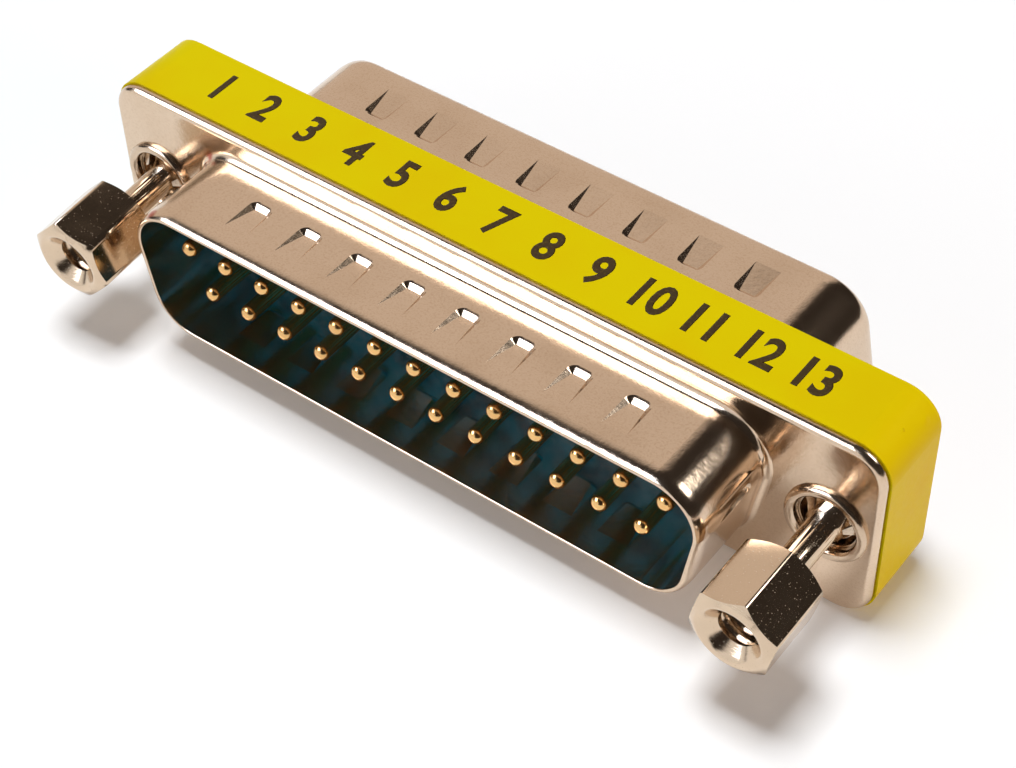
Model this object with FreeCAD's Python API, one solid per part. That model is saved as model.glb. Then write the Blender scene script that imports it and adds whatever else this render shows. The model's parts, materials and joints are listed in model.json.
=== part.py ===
import FreeCAD, Part
import math
import os

from FreeCAD import Vector

# A 25-way D-sub gender changer, plug to plug, standing on its long narrow side.
# Millimetres. X runs along the connector, -Y is the front plug, +Y the rear plug, +Z is up.
# The origin is the centre of the underside. Shapes are first made about the connector's own
# axis, with Y = 0 half way through the body, and are lifted onto the ground at the end.

# Contact layout, which sets the size of the plug
pin_diameter = 1.02
pin_pitch = 2.77
row_spacing = 2.84
pins_wide_row = 13
pins_narrow_row = 12
pin_reach = 5.15
pin_tip_flat = 0.09
pin_hole_gap = 0.02
strip_width = 1.1
strip_thickness = 0.36
strip_lead = 0.3

# Drawn steel shells
sheet = 0.45
body_depth = 5.83
hood_height = 6.17
mouth_from_end_pin = 3.08
mouth_from_row = 2.76
mouth_corner = 2.6
mouth_side_angle = 10.0
flange_from_mouth = 2.095
flange_from_rim = 0.5
flange_corner = 2.1
flange_edge_round = 0.4
hood_base_round = 0.5
lip_inner_round = 0.08
lip_flat = 0.05
lip_ease_length = 0.9
lip_ease_turns = (90.0, 76.0, 62.0, 48.0, 34.0, 20.0, 8.0, 0.0)

# Pressed dimples that grip the mating shell
dimple_count = 8
dimple_from_corner = 2.606
dimple_width = 1.6
dimple_length = 2.5
dimple_depth = 0.3
dimple_from_flange = 2.0
dimple_row_shift = 0.12
dimple_corner = 0.03
dimple_head_flat = 0.04
dimple_draft = 1.25
dimple_shoulder = 0.5
dimple_shoulder_steps = (28.0, 17.0, 6.0)
dimple_runout = 0.01
dimple_backing = 0.2
end_dimple_width = 0.9
end_dimple_length = 3.0
end_dimple_from_flange = 1.3
end_dimple_up = 1.7

# Self-adhesive label round the seam of the two shells
label_thickness = 0.12
label_front_margin = 0.55
label_rear_margin = 0.3
label_gap = 0.01
label_seam_width = 0.3
label_seam_x = -14.0

# Moulded insulators
insulator_from_eyelet = 0.62
insulator_from_skirt = 0.525
insulator_corner = 1.2
insulator_plate = 1.1
insulator_wall = 0.8
insulator_gap = 0.05
insulator_recess = 0.1

# Eyelets that clinch the two shells together
eyelet_screw_gap = 0.38
eyelet_wall = 0.32
eyelet_rim_width = 0.2
eyelet_rim_height = 0.38
eyelet_rim_crown = 0.3
eyelet_rim_flat = 0.05
eyelet_from_hood = 0.2837

# Dished three-fingered retainers, loose in a groove of each eyelet
retainer_thickness = 0.22
retainer_depth = 0.22
retainer_seat_width = 0.13
retainer_snap_width = 0.08
retainer_ring_width = 0.2
retainer_finger_count = 3
retainer_finger_turn = 13.0
retainer_finger_root = 0.9
retainer_finger_tip = 0.16
retainer_finger_rise = 0.5
retainer_side_gap = 0.05
retainer_end_gap = 0.03
retainer_shank_gap = 0.06

# Captive jackscrews, drawn pulled out as far as the retainers let them
hex_across_flats = 4.75
hex_length = 5.0
hex_chamfer_depth = 0.4
hex_face_inset = 0.29
hex_edge_round = 0.25
hex_sides = 6
neck_step = 0.2
neck_length = 3.8
shank_step = 0.32
shank_chamfer = 0.18
shank_reach = 0.5
screw_thread_diameter = 2.84
screw_thread_chamfer = 0.35
screw_stop_gap = 0.03
screw_reach_behind_body = 1.2
tapped_hole_diameter = 2.26
tapped_hole_floor = 0.7
countersink_rim = 0.15
countersink_depth = 0.75
hex_turn_left = -14.8
hex_turn_right = 17.4
left_screw_pushed_in = 0.62
left_screw_lean = 3.4
left_screw_leans_towards = -31.0
left_screw_leans_about_y = -2.55

# Sizes that follow from those above
mouth_width = (pins_wide_row - 1) * pin_pitch + 2 * mouth_from_end_pin
mouth_height = row_spacing + 2 * mouth_from_row
side_slope = math.radians(mouth_side_angle)
flange_height = mouth_height + 2 * flange_from_mouth
lip_ease_depth = sheet - lip_inner_round - lip_flat
shank_diameter = screw_thread_diameter - 2 * shank_step
neck_diameter = shank_diameter - 2 * neck_step
eyelet_bore_radius = screw_thread_diameter / 2 + eyelet_screw_gap
retainer_radius = eyelet_bore_radius + retainer_seat_width
eyelet_mouth_radius = retainer_radius - retainer_snap_width
groove_radius = retainer_radius + retainer_side_gap
eyelet_barrel_radius = groove_radius + eyelet_wall
eyelet_rim_radius = eyelet_barrel_radius + eyelet_rim_width
hood_half_width = mouth_width / 2 + sheet * (math.tan(side_slope) + 1 / math.cos(side_slope))
hole_x = hood_half_width + hood_base_round + eyelet_from_hood + eyelet_rim_radius
flange_width = 2 * (hole_x + eyelet_rim_radius + flange_from_rim)
insulator_width = 2 * (hole_x - eyelet_barrel_radius - insulator_from_eyelet)
insulator_height = flange_height - 2 * sheet - 2 * insulator_from_skirt
front_face = -body_depth / 2
rear_face = body_depth / 2
mouth_plane = front_face - hood_height
plate_front = front_face + sheet
plate_back = plate_front + insulator_plate
axis_height = flange_height / 2 + label_gap + label_thickness
along_x = Vector(1, 0, 0)
along_y = Vector(0, 1, 0)
centre = Vector(0, 0, 0)
overrun = 1.0
same_plane = 1e-4
blank_clearance = 0.01
half_turned = math.cos(math.pi / 4)


def rounded_wire(corners, radii, place):
    """Closed wire with each corner rounded by its own radius; place maps (u, v) to a point."""
    edges = []
    count = len(corners)
    joints = []
    for i in range(count):
        here = Vector(corners[i][0], corners[i][1], 0)
        before = Vector(corners[i - 1][0], corners[i - 1][1], 0)
        after = Vector(corners[(i + 1) % count][0], corners[(i + 1) % count][1], 0)
        to_before = (before - here).normalize()
        to_after = (after - here).normalize()
        half_angle = to_before.getAngle(to_after) / 2
        setback = radii[i] / math.tan(half_angle)
        bisector = (to_before + to_after).normalize()
        arc_middle = here + bisector * (radii[i] / math.sin(half_angle) - radii[i])
        joints.append((here + to_before * setback, arc_middle, here + to_after * setback))
    for i in range(count):
        start, middle, end = [place(p.x, p.y) for p in joints[i]]
        if radii[i] > 0:
            edges.append(Part.Arc(start, middle, end).toShape())
        following = place(joints[(i + 1) % count][0].x, joints[(i + 1) % count][0].y)
        edges.append(Part.LineSegment(end, following).toShape())
    return Part.Wire(edges)


def rectangle(width, height):
    x, z = width / 2, height / 2
    return [(-x, -z), (x, -z), (x, z), (-x, z)]


def d_outline(grow):
    """Corners of the plug's D, wide side up, with its inner outline moved outwards by grow."""
    top = mouth_width / 2 + grow * (math.tan(side_slope) + 1 / math.cos(side_slope))
    z = mouth_height / 2 + grow
    bottom = top - 2 * z * math.tan(side_slope)
    return [(-bottom, -z), (bottom, -z), (top, z), (-top, z)]


def prism(corners, radius, y_start, y_end):
    """A rounded outline in X and Z, extruded along Y."""
    wire = rounded_wire(corners, [radius] * len(corners), lambda u, v: Vector(u, y_start, v))
    return Part.Face(wire).extrude(Vector(0, y_end - y_start, 0))


def rod(radius, y_start, y_end, x=0.0, z=0.0):
    return Part.makeCylinder(radius, y_end - y_start, Vector(x, y_start, z), along_y)


def turned_about_y(segments):
    """Solid of revolution about the Y axis from a closed chain of (radius, y) points.

    A chain entry with two points is an arc: the first is on the arc, the second its end.
    """
    edges = []
    start = Vector(segments[0][0][0], segments[0][0][1], 0)
    first = start
    for step in segments[1:]:
        end = Vector(step[-1][0], step[-1][1], 0)
        if len(step) == 2:
            edges.append(Part.Arc(start, Vector(step[0][0], step[0][1], 0), end).toShape())
        else:
            edges.append(Part.LineSegment(start, end).toShape())
        start = end
    edges.append(Part.LineSegment(start, first).toShape())
    return Part.Face(Part.Wire(edges)).revolve(centre, along_y, 360)


def edges_in_plane(shape, y, half_width):
    """Edges that lie in one XZ plane and within half_width of the middle."""
    found = []
    for edge in shape.Edges:
        box = edge.BoundBox
        flat = max(abs(box.YMin - y), abs(box.YMax - y)) < same_plane
        if flat and max(abs(box.XMin), abs(box.XMax)) < half_width:
            found.append(edge)
    return found


def end_for_end(shape):
    """The same piece at the rear: half a turn about X, which also puts the D's wide side down."""
    copy = shape.copy()
    copy.rotate(centre, along_x, 180)
    return copy


def press_levels():
    """Height and head position of each level of a dimple, from its bottom to its soft shoulder."""
    wall_turn = math.atan(1 / dimple_draft)
    shoulder_start = -dimple_shoulder * (1 - math.cos(wall_turn))
    shoulder_end = shoulder_start * dimple_draft + dimple_shoulder * math.sin(wall_turn)
    levels = [(z, z * dimple_draft) for z in (-dimple_depth, (shoulder_start - dimple_depth) / 2, shoulder_start)]
    for turn in dimple_shoulder_steps:
        angle = math.radians(turn)
        z = -dimple_shoulder * (1 - math.cos(angle))
        levels.append((z, shoulder_end - dimple_shoulder * math.sin(angle)))
    z, head = levels[-1]
    levels.append((dimple_runout, head + (dimple_runout - z) / math.tan(angle)))
    return levels


def scoop(width, length, grow):
    """Wedge-shaped press mark on a face at Z = 0: deepest at its head, running out along -Y."""
    if grow:
        levels = [(z, z * dimple_draft + grow) for z in (-dimple_depth, dimple_backing)]
    else:
        levels = press_levels()
    wires = []
    for z, head in levels:
        half = width / 2 + grow + z * dimple_draft
        corners = [(-half, -length), (half, -length), (half, head), (-half, head)]
        round_head = min(dimple_corner + head - levels[0][1], half - dimple_head_flat)
        rounds = [0, 0, round_head, round_head]
        wires.append(rounded_wire(corners, rounds, lambda u, v, z=z: Vector(u, v, z)))
    drafted = Part.makeLoft(wires, True, grow > 0)
    slope = dimple_depth / length
    front, back = -length - overrun, overrun
    corners = [
        Vector(-width, front, slope * overrun),
        Vector(-width, back, -dimple_depth - slope * overrun),
        Vector(-width, back, overrun),
        Vector(-width, front, overrun),
    ]
    above_floor = Part.Face(Part.makePolygon(corners + corners[:1])).extrude(Vector(2 * width, 0, 0))
    return drafted.common(above_floor)


def dimple_places():
    """Each dimple as (width, length, point on the outer face, turn about Y)."""
    places = []
    half_height = mouth_height / 2 + sheet
    last_x = d_outline(0)[1][0] - mouth_corner - dimple_from_corner
    head = front_face - dimple_from_flange
    for i in range(dimple_count):
        x = last_x * (2 * i / (dimple_count - 1) - 1) + dimple_row_shift
        places.append((dimple_width, dimple_length, Vector(x, head, half_height), 0))
        places.append((dimple_width, dimple_length, Vector(x, head, -half_height), 180))
    side_x = hood_half_width - (half_height - end_dimple_up) * math.tan(side_slope)
    head = front_face - end_dimple_from_flange
    for side in (-1, 1):
        place = Vector(side * side_x, head, end_dimple_up)
        places.append((end_dimple_width, end_dimple_length, place, side * (90 + mouth_side_angle)))
    return places


def eased_lip():
    """Front end of the hood before it is hollowed, with a quarter ellipse round its outside."""
    sections = []
    for turn in lip_ease_turns:
        angle = math.radians(turn)
        outwards = sheet - lip_ease_depth * (1 - math.cos(angle))
        y = mouth_plane + lip_ease_length * (1 - math.sin(angle))
        corners = d_outline(outwards)
        radii = [mouth_corner + outwards] * len(corners)
        sections.append(rounded_wire(corners, radii, lambda u, v, y=y: Vector(u, y, v)))
    return Part.makeLoft(sections, True)


def front_shell():
    """Flange, skirt and D-shaped hood drawn from one sheet."""
    block = prism(rectangle(flange_width, flange_height), flange_corner, front_face, 0)
    block = block.makeFillet(flange_edge_round, edges_in_plane(block, front_face, flange_width))
    hood = prism(d_outline(sheet), mouth_corner + sheet, mouth_plane + lip_ease_length, plate_front)
    shell = block.fuse([hood, eased_lip()]).removeSplitter()
    round_hood = hood_half_width + sheet
    shell = shell.makeFillet(hood_base_round, edges_in_plane(shell, front_face, round_hood))
    opening = rectangle(flange_width - 2 * sheet, flange_height - 2 * sheet)
    inside = prism(opening, flange_corner - sheet, plate_front, overrun)
    bore = prism(d_outline(0), mouth_corner, mouth_plane - overrun, plate_front + overrun)
    shell = shell.cut(inside.fuse(bore))
    middle_of_lip = d_outline((sheet - lip_ease_depth) / 2)[2][0]
    shell = shell.makeFillet(lip_inner_round, edges_in_plane(shell, mouth_plane, middle_of_lip))
    marks = []
    bumps = []
    for width, length, place, turn in dimple_places():
        for grow, inwards, kept in ((0, 0, marks), (dimple_backing, sheet, bumps)):
            piece = scoop(width, length, grow)
            piece.translate(Vector(0, 0, -inwards))
            piece.rotate(centre, along_y, turn)
            piece.translate(place)
            kept.append(piece)
    shell = shell.fuse(bumps).cut(marks)
    holes = [rod(eyelet_barrel_radius, mouth_plane, overrun, side * hole_x) for side in (-1, 1)]
    return shell.cut(holes)


def label():
    """Strip wrapped once round the body, with its two ends meeting underneath."""
    y_start = front_face + label_front_margin
    y_end = rear_face - label_rear_margin
    inner = label_gap
    outer = label_gap + label_thickness
    outline = rectangle(flange_width + 2 * outer, flange_height + 2 * outer)
    wrapped = rectangle(flange_width + 2 * inner, flange_height + 2 * inner)
    band = prism(outline, flange_corner + outer, y_start, y_end)
    band = band.cut(prism(wrapped, flange_corner + inner, y_start - overrun, y_end + overrun))
    seam = Part.makeBox(
        label_seam_width,
        body_depth,
        overrun,
        Vector(label_seam_x - label_seam_width / 2, front_face, -flange_height / 2 - overrun),
    )
    return band.cut(seam)


def pin_places():
    """Each contact's x and its height at the front; at the rear it is as far below the axis."""
    places = []
    for count, z in ((pins_wide_row, row_spacing / 2), (pins_narrow_row, -row_spacing / 2)):
        places += [((i - (count - 1) / 2) * pin_pitch, z) for i in range(count)]
    return places


def front_insulator():
    """Tray with a D-shaped boss that fills the hood's root and a wall that meets the rear tray."""
    tray = prism(rectangle(insulator_width, insulator_height), insulator_corner, plate_front, 0)
    hollow = rectangle(insulator_width - 2 * insulator_wall, insulator_height - 2 * insulator_wall)
    well = prism(hollow, insulator_corner - insulator_wall, plate_back, overrun)
    boss = prism(d_outline(-insulator_gap), mouth_corner, front_face + insulator_recess, plate_front)
    radius = pin_diameter / 2 + pin_hole_gap
    holes = [rod(radius, front_face, plate_back + overrun, x, z) for x, z in pin_places()]
    return tray.cut(well).fuse(boss).removeSplitter().cut(holes)


def contact(x, z):
    """Round pin at each end, joined by a flat strip cranked from one row to the other."""
    radius = pin_diameter / 2
    tip_round = radius - pin_tip_flat
    tip = front_face - pin_reach
    front_pin = rod(radius, tip, plate_back + strip_lead, x, z)
    front_pin = front_pin.makeFillet(tip_round, edges_in_plane(front_pin, tip, flange_width))
    rear_pin = rod(radius, -plate_back - strip_lead, -tip, x, -z)
    rear_pin = rear_pin.makeFillet(tip_round, edges_in_plane(rear_pin, -tip, flange_width))
    run = 2 * (-plate_back - strip_lead)
    drop = -2 * z
    length = math.hypot(run, drop)
    thick_y = -drop / length * strip_thickness / 2
    thick_z = run / length * strip_thickness / 2
    bend_y = plate_back + strip_lead
    x_left = x - strip_width / 2
    half = strip_thickness / 2
    lean = math.copysign(half, z) * math.tan(math.atan2(abs(drop), run) / 2)
    upper = [
        Vector(x_left, plate_back, z + half),
        Vector(x_left, bend_y + lean, z + half),
        Vector(x_left, -bend_y + lean, -z + half),
        Vector(x_left, -plate_back, -z + half),
    ]
    lower = [
        Vector(x_left, -plate_back, -z - half),
        Vector(x_left, -bend_y - lean, -z - half),
        Vector(x_left, bend_y - lean, z - half),
        Vector(x_left, plate_back, z - half),
    ]
    strip = Part.Face(Part.makePolygon(upper + lower + upper[:1])).extrude(Vector(strip_width, 0, 0))
    return front_pin.fuse([strip, rear_pin]).removeSplitter()


def eyelet(side):
    """Turned bush with a rolled rim on each flange and a groove that holds the retainer."""
    crown = front_face - eyelet_rim_height
    groove_front = front_face + retainer_depth - retainer_end_gap
    groove_back = front_face + retainer_depth + retainer_thickness + retainer_end_gap
    rim_middle = eyelet_rim_radius - eyelet_rim_crown
    rim_inside = rim_middle - eyelet_rim_flat
    soft = eyelet_rim_crown * (1 - half_turned)
    roll_y = crown + (1 - half_turned) * eyelet_rim_height
    mouth_roll = rim_inside - half_turned * (rim_inside - eyelet_mouth_radius)
    bore_roll = rim_inside - half_turned * (rim_inside - eyelet_bore_radius)
    bush = turned_about_y([
        [(eyelet_barrel_radius, front_face)],
        [(eyelet_rim_radius, front_face)],
        [(eyelet_rim_radius, crown + eyelet_rim_crown)],
        [(eyelet_rim_radius - soft, crown + soft), (rim_middle, crown)],
        [(rim_inside, crown)],
        [(mouth_roll, roll_y), (eyelet_mouth_radius, front_face)],
        [(eyelet_mouth_radius, groove_front)],
        [(groove_radius, groove_front)],
        [(groove_radius, groove_back)],
        [(eyelet_bore_radius, groove_back)],
        [(eyelet_bore_radius, rear_face)],
        [(bore_roll, -roll_y), (rim_inside, -crown)],
        [(rim_middle, -crown)],
        [(eyelet_rim_radius - soft, -crown - soft), (eyelet_rim_radius, -crown - eyelet_rim_crown)],
        [(eyelet_rim_radius, rear_face)],
        [(eyelet_barrel_radius, rear_face)],
    ])
    bush.translate(Vector(side * hole_x, 0, 0))
    return bush


def retainer(side):
    """Spring-steel ring with pointed fingers bent forwards until they nearly touch the shank."""
    y_front = front_face + retainer_depth
    y_back = y_front + retainer_thickness
    inner = retainer_radius - retainer_ring_width
    ring_middle = retainer_radius - retainer_ring_width / 2
    tip = shank_diameter / 2 + retainer_shank_gap
    ring = rod(retainer_radius, y_front, y_back).cut(rod(inner, y_front - overrun, y_back + overrun))
    dish = turned_about_y([
        [(tip, y_front - retainer_finger_rise)],
        [(ring_middle, y_front)],
        [(ring_middle, y_back)],
        [(tip, y_back - retainer_finger_rise)],
    ])
    corners = [
        Vector(tip - retainer_ring_width, y_front - overrun, -retainer_finger_tip / 2),
        Vector(retainer_radius, y_front - overrun, -retainer_finger_root / 2),
        Vector(retainer_radius, y_front - overrun, retainer_finger_root / 2),
        Vector(tip - retainer_ring_width, y_front - overrun, retainer_finger_tip / 2),
    ]
    blank = Part.Face(Part.makePolygon(corners + corners[:1])).extrude(Vector(0, 2 * overrun, 0))
    fingers = []
    for i in range(retainer_finger_count):
        finger = blank.copy()
        finger.rotate(centre, along_y, -retainer_finger_turn - i * 360 / retainer_finger_count)
        fingers.append(finger.common(dish))
    star = ring.fuse(fingers).removeSplitter()
    star.translate(Vector(side * hole_x, 0, 0))
    return star


def jackscrew(side, hex_turn, pushed_in, lean):
    """Hexagonal head with a tapped hole, a thin neck, a plain shank and the screwed end."""
    shank_front = front_face - shank_reach
    head_back = shank_front - neck_length
    head_front = head_back - hex_length
    thread_front = front_face + retainer_depth + retainer_thickness + screw_stop_gap
    end = rear_face + screw_reach_behind_body
    corner_radius = hex_across_flats / 2 / math.cos(math.pi / hex_sides)
    blank_radius = corner_radius + blank_clearance
    face_radius = hex_across_flats / 2 - hex_face_inset
    corners = []
    for i in range(hex_sides):
        angle = math.radians(hex_turn + 360 * i / hex_sides)
        corners.append((corner_radius * math.cos(angle), corner_radius * math.sin(angle)))
    head = prism(corners, hex_edge_round, head_front, head_back)
    rounded_ends = turned_about_y([
        [(0, head_front)],
        [(face_radius, head_front)],
        [(blank_radius, head_front + hex_chamfer_depth)],
        [(blank_radius, head_back - hex_chamfer_depth)],
        [(face_radius, head_back)],
        [(0, head_back)],
    ])
    stem = turned_about_y([
        [(0, head_back - hex_chamfer_depth)],
        [(neck_diameter / 2, head_back - hex_chamfer_depth)],
        [(neck_diameter / 2, shank_front)],
        [(shank_diameter / 2, shank_front + shank_chamfer)],
        [(shank_diameter / 2, thread_front)],
        [(screw_thread_diameter / 2, thread_front)],
        [(screw_thread_diameter / 2, end - screw_thread_chamfer)],
        [(screw_thread_diameter / 2 - screw_thread_chamfer, end)],
        [(0, end)],
    ])
    hole_radius = tapped_hole_diameter / 2
    hole = rod(hole_radius, head_front, head_back - tapped_hole_floor)
    mouth_centre = Vector(0, head_front, 0)
    mouth_radius = face_radius - countersink_rim
    countersink = Part.makeCone(mouth_radius, hole_radius, countersink_depth, mouth_centre, along_y)
    screw = head.common(rounded_ends).fuse(stem).removeSplitter().cut([hole, countersink])
    screw.translate(Vector(0, pushed_in, 0))
    towards = math.radians(left_screw_leans_towards)
    lean_axis = Vector(-math.sin(towards), 0, math.cos(towards))
    screw.rotate(Vector(0, left_screw_leans_about_y, 0), lean_axis, lean)
    screw.translate(Vector(side * hole_x, 0, 0))
    return screw


def sub_parts():
    shapes = {"front_shell": front_shell(), "front_insulator": front_insulator(), "label": label()}
    shapes["rear_shell"] = end_for_end(shapes["front_shell"])
    shapes["rear_insulator"] = end_for_end(shapes["front_insulator"])
    screws = (
        ("left", -1, hex_turn_left, left_screw_pushed_in, left_screw_lean),
        ("right", 1, hex_turn_right, 0, 0),
    )
    for name, side, hex_turn, pushed_in, lean in screws:
        shapes["eyelet_" + name] = eyelet(side)
        shapes["retainer_" + name] = retainer(side)
        shapes["jackscrew_" + name] = jackscrew(side, hex_turn, pushed_in, lean)
    for number, (x, z) in enumerate(pin_places(), start=1):
        shapes["contact_%02d" % number] = contact(x, z)
    return shapes


os.makedirs("parts", exist_ok=True)
for node, shape in sub_parts().items():
    shape.translate(Vector(0, 0, axis_height))
    solids = shape.Solids
    print(node, "solids", len(solids), "valid", shape.isValid(), "volume %.3f" % shape.Volume)
    part = solids[0] if len(solids) == 1 else Part.makeCompound(solids)
    part.exportStep("parts/" + node + ".step")
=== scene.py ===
import json
import math

import bmesh
import bpy
from mathutils import Matrix, Vector


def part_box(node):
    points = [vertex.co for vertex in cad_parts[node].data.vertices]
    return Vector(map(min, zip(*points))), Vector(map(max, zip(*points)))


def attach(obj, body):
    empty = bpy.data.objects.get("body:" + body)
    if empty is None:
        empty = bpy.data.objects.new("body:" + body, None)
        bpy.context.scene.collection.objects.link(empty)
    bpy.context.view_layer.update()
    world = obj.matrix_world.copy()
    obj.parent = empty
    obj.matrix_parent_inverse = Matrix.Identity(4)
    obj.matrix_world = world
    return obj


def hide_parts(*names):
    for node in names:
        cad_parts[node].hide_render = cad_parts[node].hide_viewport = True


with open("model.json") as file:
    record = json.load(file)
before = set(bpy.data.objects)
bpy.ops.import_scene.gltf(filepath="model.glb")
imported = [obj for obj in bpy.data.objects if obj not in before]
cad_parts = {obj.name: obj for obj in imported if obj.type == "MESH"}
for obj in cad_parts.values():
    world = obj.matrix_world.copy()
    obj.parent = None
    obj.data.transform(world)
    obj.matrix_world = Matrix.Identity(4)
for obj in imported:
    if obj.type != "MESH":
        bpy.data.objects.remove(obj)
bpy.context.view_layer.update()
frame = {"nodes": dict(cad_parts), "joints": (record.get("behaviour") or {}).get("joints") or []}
scene = bpy.context.scene
mm = 0.001
print("frame loaded:", len(frame["nodes"]), "nodes")


# Small tools for node trees

def addNode(tree, kind, inputs=None, **settings):
    node = tree.nodes.new(kind)
    for name, value in settings.items():
        setattr(node, name, value)
    for name, value in (inputs or {}).items():
        if isinstance(value, bpy.types.NodeSocket):
            tree.links.new(value, node.inputs[name])
        else:
            node.inputs[name].default_value = value
    return node


def addMath(tree, operation, first, second=0.0):
    return addNode(tree, "ShaderNodeMath", {0: first, 1: second}, operation=operation).outputs[0]


def addVector(tree, operation, first, second=(0, 0, 0)):
    node = addNode(tree, "ShaderNodeVectorMath", {0: first, 1: second}, operation=operation)
    return node.outputs["Value" if operation in ("LENGTH", "DOT_PRODUCT", "DISTANCE") else "Vector"]


def addMix(tree, factor, first, second):
    sockets = {0: factor, 6: first, 7: second}
    return addNode(tree, "ShaderNodeMix", sockets, data_type="RGBA").outputs[2]


def addRange(tree, value, low, high, newLow=0.0, newHigh=1.0):
    sockets = {"Value": value, "From Min": low, "From Max": high, "To Min": newLow, "To Max": newHigh}
    return addNode(tree, "ShaderNodeMapRange", sockets, interpolation_type="SMOOTHSTEP").outputs[0]


def addNoise(tree, place, scale, detail):
    sockets = {"Vector": place, "Scale": scale, "Detail": detail}
    return addNode(tree, "ShaderNodeTexNoise", sockets).outputs[0]


# Noise with a soft edge between two of its levels
def addClouds(tree, place, scale, detail, low, high, newLow=0.0, newHigh=1.0):
    return addRange(tree, addNoise(tree, place, scale, detail), low, high, newLow, newHigh)


# Noise as a height in millimetres
def addRelief(tree, place, scale, detail, height):
    return addMath(tree, "MULTIPLY", addNoise(tree, place, scale, detail), height)


def objectPlace(tree):
    return addNode(tree, "ShaderNodeTexCoord").outputs["Object"]


def opaque(red, green, blue):
    return (red, green, blue, 1.0)


# Shader groups: effects that more than one material uses

def startGroup(name, inputs, outputs):
    tree = bpy.data.node_groups.new(name, "ShaderNodeTree")
    for title, kind in inputs.items():
        tree.interface.new_socket(title, in_out="INPUT", socket_type="NodeSocket" + kind)
    for title, kind in outputs.items():
        tree.interface.new_socket(title, in_out="OUTPUT", socket_type="NodeSocket" + kind)
    return tree, tree.nodes.new("NodeGroupInput").outputs, tree.nodes.new("NodeGroupOutput").inputs


platedNoise = {
    "patches": {"scale": 260, "detail": 4.0, "low": 0.40, "high": 0.70},
    "specks": {"scale": 8000, "detail": 2.0, "low": 0.45, "high": 0.72},
    "flecks": {"scale": 5000, "detail": 3.0},
    "fleckMiddle": 0.5,
    "peel": {"scale": 2600, "detail": 1.0},
    "grain": {"scale": 12000, "detail": 1.0},
}


def makePlatedSurface():
    given = {
        "Place": "Vector", "Base": "Color", "Tarnish": "Color", "Tarnish Amount": "Float",
        "Roughness": "Float", "Roughness Spread": "Float", "Peel Height": "Float", "Grain Height": "Float",
        "Speckle": "Float",
    }
    tree, start, end = startGroup(
        "platedSurface", given, {"Color": "Color", "Roughness": "Float", "Height": "Float"}
    )
    place = start["Place"]
    patches = addClouds(tree, place, **platedNoise["patches"])
    specks = addClouds(tree, place, **platedNoise["specks"])
    clouding = addMath(tree, "MULTIPLY", patches, start["Tarnish Amount"])
    clouding = addMath(tree, "ADD", clouding, addMath(tree, "MULTIPLY", specks, start["Speckle"]))
    tree.links.new(addMix(tree, clouding, start["Base"], start["Tarnish"]), end["Color"])
    flecks = addNoise(tree, place, **platedNoise["flecks"])
    flecks = addMath(tree, "SUBTRACT", flecks, platedNoise["fleckMiddle"])
    unevenness = addMath(tree, "MULTIPLY", addMath(tree, "ADD", flecks, patches), start["Roughness Spread"])
    tree.links.new(addMath(tree, "ADD", start["Roughness"], unevenness), end["Roughness"])
    peel = addRelief(tree, place, height=start["Peel Height"], **platedNoise["peel"])
    grain = addRelief(tree, place, height=start["Grain Height"], **platedNoise["grain"])
    tree.links.new(addMath(tree, "ADD", peel, grain), end["Height"])
    return tree


dustSizes = {"specksFrom": 0.12, "specksTo": 0.3, "metalScale": 9500, "roughening": 0.5}


def makeDustSpecks():
    given = {"Place": "Vector", "Scale": "Float", "Share": "Float"}
    tree, start, end = startGroup("dustSpecks", given, {"Mask": "Float"})
    cells = addNode(tree, "ShaderNodeTexVoronoi", {"Vector": start["Place"], "Scale": start["Scale"]})
    chance = addNode(tree, "ShaderNodeSeparateColor", {"Color": cells.outputs["Color"]}).outputs[0]
    chosen = addMath(tree, "LESS_THAN", chance, start["Share"])
    low, high = dustSizes["specksFrom"], dustSizes["specksTo"]
    spot = addRange(tree, cells.outputs["Distance"], low, high, 1.0, 0.0)
    tree.links.new(addMath(tree, "MULTIPLY", spot, chosen), end["Mask"])
    return tree


def makeTurnedRings():
    tree, start, end = startGroup("turnedRings", {"Place": "Vector", "Scale": "Float"}, {"Height": "Float"})
    flat = addVector(tree, "MULTIPLY", start["Place"], (1, 0, 1))
    radius = addMath(tree, "MULTIPLY", addVector(tree, "LENGTH", flat), start["Scale"])
    rings = addNode(
        tree, "ShaderNodeTexNoise", {"W": radius, "Scale": 1.0, "Detail": 2.0}, noise_dimensions="1D"
    )
    tree.links.new(rings.outputs[0], end["Height"])
    return tree


platedSurface = makePlatedSurface()
dustSpecks = makeDustSpecks()
turnedRings = makeTurnedRings()


# Materials

def startMaterial(name, **constants):
    material = bpy.data.materials.new(name)
    material.use_nodes = True
    tree = material.node_tree
    shader = tree.nodes["Principled BSDF"]
    for socket, value in constants.items():
        shader.inputs[socket].default_value = value
    return material, tree, shader


def linkColour(tree, shader, base, roughness):
    tree.links.new(base, shader.inputs["Base Color"])
    tree.links.new(roughness, shader.inputs["Roughness"])


def linkBump(tree, shader, height):
    bump = addNode(tree, "ShaderNodeBump", {"Height": height, "Distance": mm})
    tree.links.new(bump.outputs[0], shader.inputs["Normal"])


def addPlating(tree, place, finish):
    values = {"Place": place, "Base": finish["base"], "Tarnish": finish["tarnish"]}
    for title, key in (
        ("Tarnish Amount", "tarnishAmount"), ("Roughness", "roughness"), ("Roughness Spread", "spread"),
        ("Peel Height", "peel"), ("Grain Height", "grain"), ("Speckle", "speckle"),
    ):
        values[title] = finish[key]
    plating = addNode(tree, "ShaderNodeGroup", values, node_tree=platedSurface).outputs
    return plating["Color"], plating["Roughness"], plating["Height"]


def addDust(tree, place, scale, share):
    values = {"Place": place, "Scale": scale, "Share": share}
    return addNode(tree, "ShaderNodeGroup", values, node_tree=dustSpecks).outputs[0]


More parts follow.
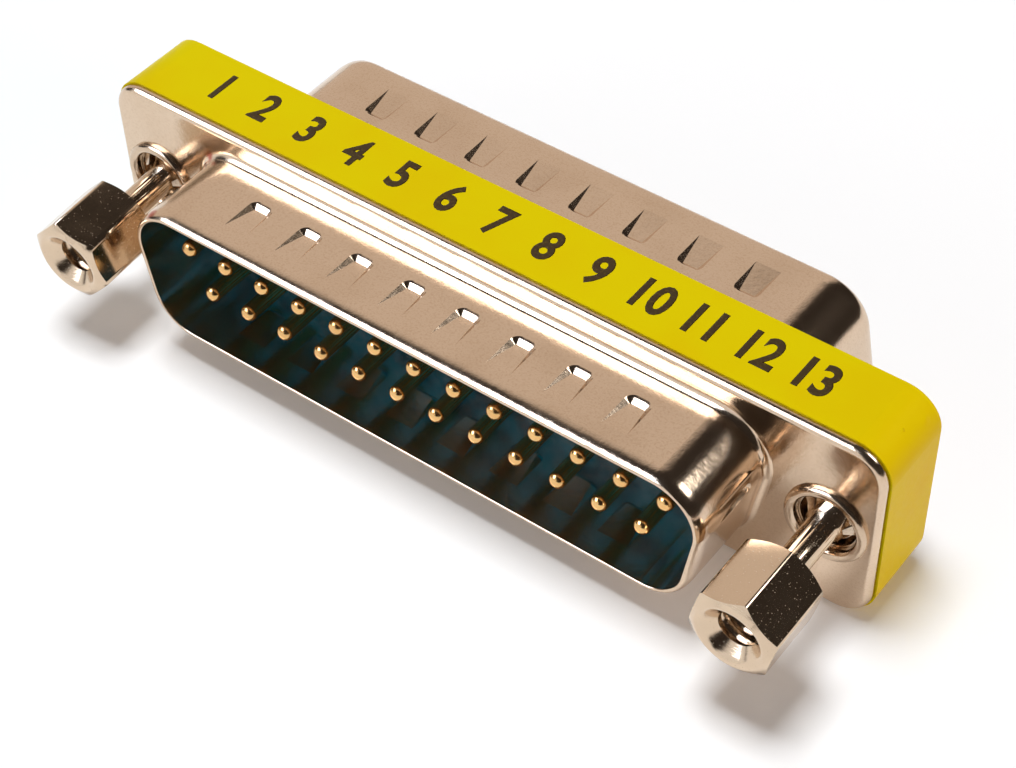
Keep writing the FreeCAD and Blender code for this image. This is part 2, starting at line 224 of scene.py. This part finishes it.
shellFinish = {
    "base": opaque(0.70, 0.55, 0.41),
    "tarnish": opaque(0.56, 0.40, 0.26),
    "tarnishAmount": 0.22,
    "speckle": 0.35,
    "roughness": 0.15,
    "spread": 0.06,
    "peel": 0.0050,
    "grain": 0.0022,
    "drawMarks": {"scale": 2600, "detail": 2.0, "height": 0.0012},
    "drawStretch": (1, 0.08, 1),
    "redMark": opaque(0.42, 0.05, 0.02),
    "redAmount": 0.8,
    "redSpots": ((-18.95, -3.05, 10.42, 0.50), (-18.2, -8.75, 10.5, 0.48)),
    "redSpotEdge": (0.7, 1.5),
    "redWobble": {"scale": 2500, "detail": 3.0},
    "redLine": (-19.2, 9.62, 0.34),
    "redLineEdge": 0.4,
    "redLineAmount": 0.6,
    "redLineBack": -3.0,
}


# Red marks on the left end of the front hood: spots, and a line that runs forwards
def addRedMarks(tree, place, finish):
    redness = 0.0
    inner, outer = finish["redSpotEdge"]
    for x, y, z, size in finish["redSpots"]:
        distance = addVector(tree, "DISTANCE", place, (x * mm, y * mm, z * mm))
        wobble = addRelief(tree, place, height=size * mm, **finish["redWobble"])
        near = addMath(tree, "ADD", distance, wobble)
        spot = addRange(tree, near, size * mm * inner, size * mm * outer, 1.0, 0.0)
        redness = addMath(tree, "MAXIMUM", redness, spot)
    x, z, size = finish["redLine"]
    across = addVector(tree, "MULTIPLY", place, (1, 0, 1))
    distance = addVector(tree, "DISTANCE", across, (x * mm, 0, z * mm))
    edge = size * mm * finish["redLineEdge"]
    line = addRange(tree, distance, edge, size * mm, finish["redLineAmount"], 0.0)
    depth = addNode(tree, "ShaderNodeSeparateXYZ", {0: place}).outputs["Y"]
    line = addMath(tree, "MULTIPLY", line, addMath(tree, "LESS_THAN", depth, finish["redLineBack"] * mm))
    return addMath(tree, "MAXIMUM", redness, line)


def makeShellMaterial():
    finish = shellFinish
    material, tree, shader = startMaterial("nickel_plated_steel", Metallic=1.0)
    place = objectPlace(tree)
    base, roughness, height = addPlating(tree, place, finish)
    values = {"Vector": place, "Scale": finish["drawStretch"]}
    stretched = addNode(tree, "ShaderNodeMapping", values).outputs[0]
    height = addMath(tree, "ADD", height, addRelief(tree, stretched, **finish["drawMarks"]))
    redness = addMath(tree, "MULTIPLY", addRedMarks(tree, place, finish), finish["redAmount"])
    linkColour(tree, shader, addMix(tree, redness, base, finish["redMark"]), roughness)
    linkBump(tree, shader, height)
    return material


eyeletFinish = {
    "base": opaque(0.62, 0.48, 0.35),
    "tarnish": opaque(0.42, 0.31, 0.21),
    "tarnishAmount": 0.3,
    "speckle": 0.2,
    "roughness": 0.16,
    "spread": 0.06,
    "peel": 0.0012,
    "grain": 0.0008,
    "ringScale": 22000,
    "ringHeight": 0.0006,
    "dustShare": 0.03,
}

springFinish = {
    "base": opaque(0.62, 0.50, 0.38),
    "tarnish": opaque(0.26, 0.20, 0.15),
    "tarnishAmount": 0.4,
    "speckle": 0.3,
    "roughness": 0.18,
    "spread": 0.08,
    "peel": 0.0010,
    "grain": 0.0008,
    "dustShare": 0.03,
}

screwFinish = {
    "base": opaque(0.70, 0.55, 0.40),
    "tarnish": opaque(0.42, 0.32, 0.22),
    "tarnishAmount": 0.2,
    "speckle": 0.05,
    "roughness": 0.11,
    "spread": 0.05,
    "peel": 0.0012,
    "grain": 0.0006,
    "ringScale": 26000,
    "ringHeight": 0.0035,
    "dustShare": 0.13,
}

goldFinish = {
    "base": opaque(0.83, 0.52, 0.21),
    "tarnish": opaque(0.62, 0.33, 0.12),
    "tarnishAmount": 0.35,
    "speckle": 0.2,
    "roughness": 0.16,
    "spread": 0.06,
    "peel": 0.0008,
    "grain": 0.0004,
}

eyeletLow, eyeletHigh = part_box("eyelet_right")
turning = {
    "axis": ((eyeletLow.x + eyeletHigh.x) / 2, 0, (eyeletLow.z + eyeletHigh.z) / 2),
    "facing": (0.25, 0.5),
}


# Fine rings about a screw's axis, only on the faces that look along it
def addRings(tree, place, finish):
    centred = addVector(tree, "SUBTRACT", addVector(tree, "ABSOLUTE", place), turning["axis"])
    values = {"Place": centred, "Scale": finish["ringScale"]}
    rings = addNode(tree, "ShaderNodeGroup", values, node_tree=turnedRings).outputs[0]
    normal = addNode(tree, "ShaderNodeNewGeometry").outputs["Normal"]
    facing = addMath(tree, "ABSOLUTE", addNode(tree, "ShaderNodeSeparateXYZ", {0: normal}).outputs["Y"])
    turned = addRange(tree, facing, *turning["facing"], 0.0, finish["ringHeight"])
    return addMath(tree, "MULTIPLY", rings, turned)


# The smaller metal pieces; a finish may have rings and dust
def makeMetal(name, finish):
    material, tree, shader = startMaterial(name, Metallic=1.0)
    place = objectPlace(tree)
    base, roughness, height = addPlating(tree, place, finish)
    if "ringScale" in finish:
        height = addMath(tree, "ADD", height, addRings(tree, place, finish))
    if "dustShare" in finish:
        dust = addDust(tree, place, dustSizes["metalScale"], finish["dustShare"])
        dust = addMath(tree, "MULTIPLY", dust, dustSizes["roughening"])
        roughness = addMath(tree, "ADD", roughness, dust)
    linkColour(tree, shader, base, roughness)
    linkBump(tree, shader, height)
    return material


mouldingFinish = {
    "base": opaque(0.003, 0.165, 0.350),
    "dark": opaque(0.001, 0.045, 0.105),
    "dust": opaque(0.35, 0.38, 0.38),
    "clouds": {"scale": 420, "detail": 3.0, "low": 0.35, "high": 0.7},
    "dustScale": 5200,
    "dustShare": 0.035,
    "dustAmount": 0.35,
    "roughness": {"scale": 1500, "detail": 3.0, "low": 0.3, "high": 0.7, "newLow": 0.2, "newHigh": 0.32},
    "grain": {"scale": 9000, "detail": 2.0, "height": 0.0015},
    "specular": 0.12,
}


def makeMouldingMaterial():
    finish = mouldingFinish
    material, tree, shader = startMaterial("teal_moulding", **{"Specular IOR Level": finish["specular"]})
    place = objectPlace(tree)
    base = addMix(tree, addClouds(tree, place, **finish["clouds"]), finish["base"], finish["dark"])
    dust = addDust(tree, place, finish["dustScale"], finish["dustShare"])
    base = addMix(tree, addMath(tree, "MULTIPLY", dust, finish["dustAmount"]), base, finish["dust"])
    linkColour(tree, shader, base, addClouds(tree, place, **finish["roughness"]))
    linkBump(tree, shader, addRelief(tree, place, **finish["grain"]))
    return material


labelFinish = {
    "yellow": opaque(0.66, 0.545, 0.001),
    "warm": opaque(0.66, 0.50, 0.001),
    "clouds": {"scale": 140, "detail": 3.0, "low": 0.35, "high": 0.7},
    "roughness": {"scale": 4000, "detail": 3.0, "low": 0.3, "high": 0.7, "newLow": 0.30, "newHigh": 0.38},
    "waves": {"scale": 300, "detail": 2.0, "height": 0.02},
    "grain": {"scale": 12000, "detail": 2.0, "height": 0.0008},
    "creases": ((26.15, 1.6, 12.0, 0.45), (25.72, -0.05, 12.39, 0.16)),
    "creaseHeight": 0.05,
    "specular": 0.03,
}


def makeLabelMaterial():
    finish = labelFinish
    material, tree, shader = startMaterial("yellow_film", **{"Specular IOR Level": finish["specular"]})
    place = objectPlace(tree)
    base = addMix(tree, addClouds(tree, place, **finish["clouds"]), finish["yellow"], finish["warm"])
    linkColour(tree, shader, base, addClouds(tree, place, **finish["roughness"]))
    waves = addRelief(tree, place, **finish["waves"])
    height = addMath(tree, "ADD", waves, addRelief(tree, place, **finish["grain"]))
    for x, y, z, size in finish["creases"]:
        distance = addVector(tree, "DISTANCE", place, (x * mm, y * mm, z * mm))
        crease = addRange(tree, distance, 0.0, size * mm, finish["creaseHeight"], 0.0)
        height = addMath(tree, "ADD", height, crease)
    linkBump(tree, shader, height)
    return material


inkFinish = {
    "ink": opaque(0.045, 0.027, 0.008),
    "thin": opaque(0.085, 0.055, 0.010),
    "clouds": {"scale": 6000, "detail": 3.0, "low": 0.5, "high": 0.75},
    "roughness": {"scale": 4000, "detail": 2.0, "low": 0.3, "high": 0.7, "newLow": 0.35, "newHigh": 0.5},
    "specular": 0.2,
}


def makeInkMaterial():
    finish = inkFinish
    material, tree, shader = startMaterial("black_print", **{"Specular IOR Level": finish["specular"]})
    place = objectPlace(tree)
    base = addMix(tree, addClouds(tree, place, **finish["clouds"]), finish["ink"], finish["thin"])
    linkColour(tree, shader, base, addClouds(tree, place, **finish["roughness"]))
    return material


screwMaterial = makeMetal("nickel_plated_screw", screwFinish)
inkMaterial = makeInkMaterial()
nodeMaterials = {
    "shell": makeShellMaterial(),
    "eyelet": makeMetal("nickel_plated_brass", eyeletFinish),
    "retainer": makeMetal("spring_steel", springFinish),
    "jackscrew": screwMaterial,
    "contact": makeMetal("gold_plate", goldFinish),
    "insulator": makeMouldingMaterial(),
    "label": makeLabelMaterial(),
}

for name, node in frame["nodes"].items():
    word = [word for word in nodeMaterials if word in name][0]
    node.material_slots[0].material = nodeMaterials[word]
print("materials given to the carried-over nodes")


# Pieces

def addObject(name, data):
    made = bpy.data.objects.new(name, data)
    scene.collection.objects.link(made)
    return made


def takeMesh(shape, name):
    mesh = bpy.data.meshes.new(name)
    shape.to_mesh(mesh)
    shape.free()
    return mesh


def addPiece(name, mesh, material, body):
    piece = addObject(name, mesh)
    piece.data.materials.clear()
    piece.data.materials.append(material)
    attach(piece, body)
    return piece


numberSizes = {
    "count": 13,
    "pitch": 3.4,
    "height": 2.35,
    "heightInFont": 0.73,
    "condense": 0.80,
    "strokeSpread": 0.095,
    "curveSteps": 4,
    "middleY": 0.12,
    "inkThickness": 0.004,
    "weldDistance": 1e-5,
}


def makeLabelNumbers():
    sizes = numberSizes
    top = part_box("label")[1].z
    flatten = sizes["inkThickness"] / (2 * sizes["strokeSpread"])
    joined = bmesh.new()
    for i in range(sizes["count"]):
        curve = bpy.data.curves.new("number", "FONT")
        curve.body = str(i + 1)
        curve.size = sizes["height"] * mm / sizes["heightInFont"]
        curve.bevel_depth = sizes["strokeSpread"] * mm  # the strokes grow by this all round
        curve.bevel_resolution = 0
        curve.align_x = "CENTER"
        curve.align_y = "CENTER"
        curve.resolution_u = sizes["curveSteps"]
        writing = bpy.data.objects.new("number", curve)
        mesh = bpy.data.meshes.new_from_object(writing)
        x = (i - (sizes["count"] - 1) / 2) * sizes["pitch"] * mm
        middle = (x, sizes["middleY"] * mm, top + sizes["inkThickness"] * mm / 2)
        mesh.transform(Matrix.Diagonal((sizes["condense"], 1, flatten, 1)))
        mesh.transform(Matrix.Translation(middle))
        joined.from_mesh(mesh)
        bpy.data.objects.remove(writing)
        bpy.data.meshes.remove(mesh)
    bmesh.ops.remove_doubles(joined, verts=joined.verts, dist=sizes["weldDistance"] * mm)
    bmesh.ops.recalc_face_normals(joined, faces=joined.faces)
    addPiece("label_numbers", takeMesh(joined, "label_numbers"), inkMaterial, "housing")


makeLabelNumbers()
print("label printed")


threadSizes = {
    "pitch": 0.635,
    "grooveWidth": 0.50,
    "overlap": 0.03,
    "stepsPerTurn": 36,
    "boreRadius": 1.13,
    "boreDepth": 0.24,
    "boreStart": 0.98,
    "boreLength": 3.4,
    "screwRadius": 1.42,
    "screwDepth": 0.32,
    "screwLength": 6.2,
    "sharpAngle": 25,
    "weldDistance": 1e-4,
    "samePlane": 1e-3,
}


# A helical groove along +Y; a negative depth cuts towards the axis
def makeThreadCutter(radius, depth, start, length):
    sizes = threadSizes
    turns = length / sizes["pitch"]
    half = sizes["grooveWidth"] / 2
    base = radius - math.copysign(sizes["overlap"], depth)
    shape = bmesh.new()
    corners = ((base, start - half), (radius + depth, start), (base, start + half))
    section = [shape.verts.new((r * mm, y * mm, 0)) for r, y in corners]
    profile = [shape.edges.new((section[i - 1], section[i])) for i in range(3)]
    steps = round(turns * sizes["stepsPerTurn"])
    bmesh.ops.spin(
        shape, geom=section + profile, cent=(0, 0, 0), axis=(0, 1, 0),
        dvec=(0, length * mm / steps, 0), angle=turns * 2 * math.pi, steps=steps, use_duplicate=False,
    )
    bmesh.ops.holes_fill(shape, edges=shape.edges, sides=3)
    bmesh.ops.recalc_face_normals(shape, faces=shape.faces)
    return shape


# The centres of a turned piece's two end faces
def findEnds(vertices, along):
    heights = [vert.co.dot(along) for vert in vertices]
    near = threadSizes["samePlane"] * mm
    ends = []
    for limit in (min(heights), max(heights)):
        rim = [vert.co for vert, height in zip(vertices, heights) if abs(height - limit) < near]
        ends.append(sum(rim, Vector()) / len(rim))
    return ends


def cutAway(blank, cutter):
    cut = blank.modifiers.new("thread", "BOOLEAN")
    cut.operation = "DIFFERENCE"
    cut.solver = "EXACT"
    cut.object = cutter


# A merged copy of the carried-over jackscrew, with the thread of its hole and of its screwed end cut
def makeJackscrew(side):
    sizes = threadSizes
    title = "jackscrew_" + side + "_threaded"
    node = frame["nodes"]["jackscrew_" + side]
    joint = [joint for joint in frame["joints"] if joint["name"] == side + "_jackscrew_slide"][0]
    along = Vector(joint["axis"]).normalized()
    front, back = findEnds(node.data.vertices, along)
    turn = Vector((0, 1, 0)).rotation_difference(along).to_matrix().to_4x4()
    screwStart = (back - front).length / mm - sizes["screwLength"]
    threads = (
        (sizes["boreRadius"], sizes["boreDepth"], sizes["boreStart"], sizes["boreLength"]),
        (sizes["screwRadius"], -sizes["screwDepth"], screwStart, sizes["screwLength"]),
    )
    merged = bmesh.new()
    merged.from_mesh(node.data)
    bmesh.ops.remove_doubles(merged, verts=merged.verts, dist=sizes["weldDistance"] * mm)
    blank = addObject("blank", takeMesh(merged, title))
    cutters = []
    for thread in threads:
        shape = makeThreadCutter(*thread)
        bmesh.ops.transform(shape, matrix=Matrix.Translation(front) @ turn, verts=shape.verts)
        cutters.append(addObject("cutter", takeMesh(shape, "cutter")))
        cutAway(blank, cutters[-1])
    bpy.context.view_layer.update()
    cut = blank.evaluated_get(bpy.context.evaluated_depsgraph_get())
    threaded = bpy.data.meshes.new_from_object(cut)
    for extra in cutters + [blank]:
        bpy.data.objects.remove(extra)
    threaded.shade_smooth()
    threaded.set_sharp_from_angle(angle=math.radians(sizes["sharpAngle"]))
    screw = addPiece(title, threaded, screwMaterial, side + "_jackscrew")
    shading = screw.modifiers.new("shading", "WEIGHTED_NORMAL")
    shading.keep_sharp = True
    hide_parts("jackscrew_" + side)
    return screw


for side in ("left", "right"):
    screw = makeJackscrew(side)
    print("threads cut:", screw.name, len(screw.data.polygons), "faces")


# Floor, light and camera

studio = {
    "floorSize": 3.0,
    "floorColour": opaque(0.93, 0.96, 0.99),
    "floorGlow": 0.06,
    "white": opaque(1, 1, 1),
    "dark": opaque(0.034, 0.028, 0.024),
    "tent": opaque(0.12, 0.12, 0.12),
}

# What the metal mirrors in the dark room
roomPatches = {
    "warmWall": {
        "towards": (-0.72, 0.62, 0.31), "edge": (0.70, 0.81), "colour": opaque(0.76, 0.66, 0.585),
    },
    "frontCard": {
        "towards": (-0.43, -0.88, 0.18), "edge": (0.80, 0.90), "colour": opaque(0.95, 0.95, 0.97),
    },
}


def makeFloor():
    shape = bmesh.new()
    bmesh.ops.create_grid(shape, x_segments=1, y_segments=1, size=studio["floorSize"] / 2)
    floor = addObject("floor", takeMesh(shape, "floor"))
    finish = {
        "Base Color": studio["floorColour"], "Roughness": 1.0, "Specular IOR Level": 0.0,
        "Emission Color": studio["white"],
    }
    material, tree, shader = startMaterial("pale_floor", **finish)
    ray = addNode(tree, "ShaderNodeLightPath").outputs
    seen = addMath(tree, "MAXIMUM", ray["Is Camera Ray"], ray["Is Glossy Ray"])
    glow = addMath(tree, "MULTIPLY", seen, studio["floorGlow"])
    tree.links.new(glow, shader.inputs["Emission Strength"])
    floor.data.materials.append(material)


# White to the camera, a grey tent to matt surfaces and a dark room to metal
def makeWorld():
    world = bpy.data.worlds.new("studio")
    scene.world = world
    world.use_nodes = True
    tree = world.node_tree
    towards = addNode(tree, "ShaderNodeTexCoord").outputs["Generated"]
    around = studio["dark"]
    for patch in roomPatches.values():
        middle = Vector(patch["towards"]).normalized()
        near = addRange(tree, addVector(tree, "DOT_PRODUCT", towards, middle), *patch["edge"])
        around = addMix(tree, near, around, patch["colour"])
    ray = addNode(tree, "ShaderNodeLightPath").outputs
    around = addMix(tree, ray["Is Diffuse Ray"], around, studio["tent"])
    around = addMix(tree, ray["Is Camera Ray"], around, studio["white"])
    tree.links.new(around, tree.nodes["Background"].inputs["Color"])


lamps = {
    "frontLeft": {
        "place": (-250, -250, 350), "aim": (0, 0, 0), "size": (360, 360), "glow": 6.5,
        "colour": (0.88, 0.98, 1.18), "seenBy": "metal",
    },
    "rearRight": {
        "place": (64.2, 25.6, 66.8), "aim": (18.5, -8.0, 10.4), "size": (34, 22), "glow": 6.0,
        "colour": (1, 1, 1), "seenBy": "metal",
    },
    "rearRightFill": {
        "place": (273, 210, 362), "aim": (0, 0, 0), "size": (150, 150), "glow": 0.16,
        "colour": (1, 0.9, 0.8), "seenBy": "metal",
    },
    "overhead": {
        "place": (-72, 12, 600), "aim": (0, 0, 0), "size": (220, 200), "glow": 21.0,
        "colour": (1, 1, 1), "seenBy": "matt",
    },
    "side": {
        "place": (490, -50, 85), "aim": (0, 0, 0), "size": (300, 300), "glow": 4.5,
        "colour": (1, 0.58, 0.32), "seenBy": "matt",
    },
    "mouth": {
        "place": (-125, -465, 125), "aim": (0, 0, 0), "size": (300, 300), "glow": 1.3,
        "colour": (1, 1, 1), "seenBy": "matt",
    },
}


def makeLamp(name, facts):
    light = bpy.data.lights.new(name, "AREA")
    light.shape = "RECTANGLE"
    light.size, light.size_y = [side * mm for side in facts["size"]]
    light.energy = facts["glow"] * math.pi * light.size * light.size_y
    light.color = facts["colour"]
    lamp = addObject(name, light)
    place = Vector(facts["place"])
    away = (place - Vector(facts["aim"])).normalized()
    upwards = (Vector((0, 1, 0)) - away * away.y).normalized()
    turn = Matrix((upwards.cross(away), upwards, away)).transposed()
    lamp.matrix_world = Matrix.Translation(place * mm) @ turn.to_4x4()
    lamp.visible_camera = False
    lamp.visible_glossy = facts["seenBy"] == "metal"
    lamp.visible_diffuse = facts["seenBy"] == "matt"


cameraFacts = {
    "place": (57.304, -72.047, 96.349),
    "turn": (43.6829, 1.354, 36.8541),
    "lens": 79.7,
    "film": 36.0,
    "nearest": 5.0,
}


def makeCamera():
    data = bpy.data.cameras.new("camera")
    data.lens = cameraFacts["lens"]
    data.sensor_width = cameraFacts["film"]
    data.clip_start = cameraFacts["nearest"] * mm
    camera = addObject("camera", data)
    camera.location = Vector(cameraFacts["place"]) * mm
    camera.rotation_euler = [math.radians(angle) for angle in cameraFacts["turn"]]
    scene.camera = camera


makeFloor()
makeWorld()
for name, facts in lamps.items():
    makeLamp(name, facts)
makeCamera()
scene.view_settings.view_transform = "Standard"
print("floor, light and camera placed")
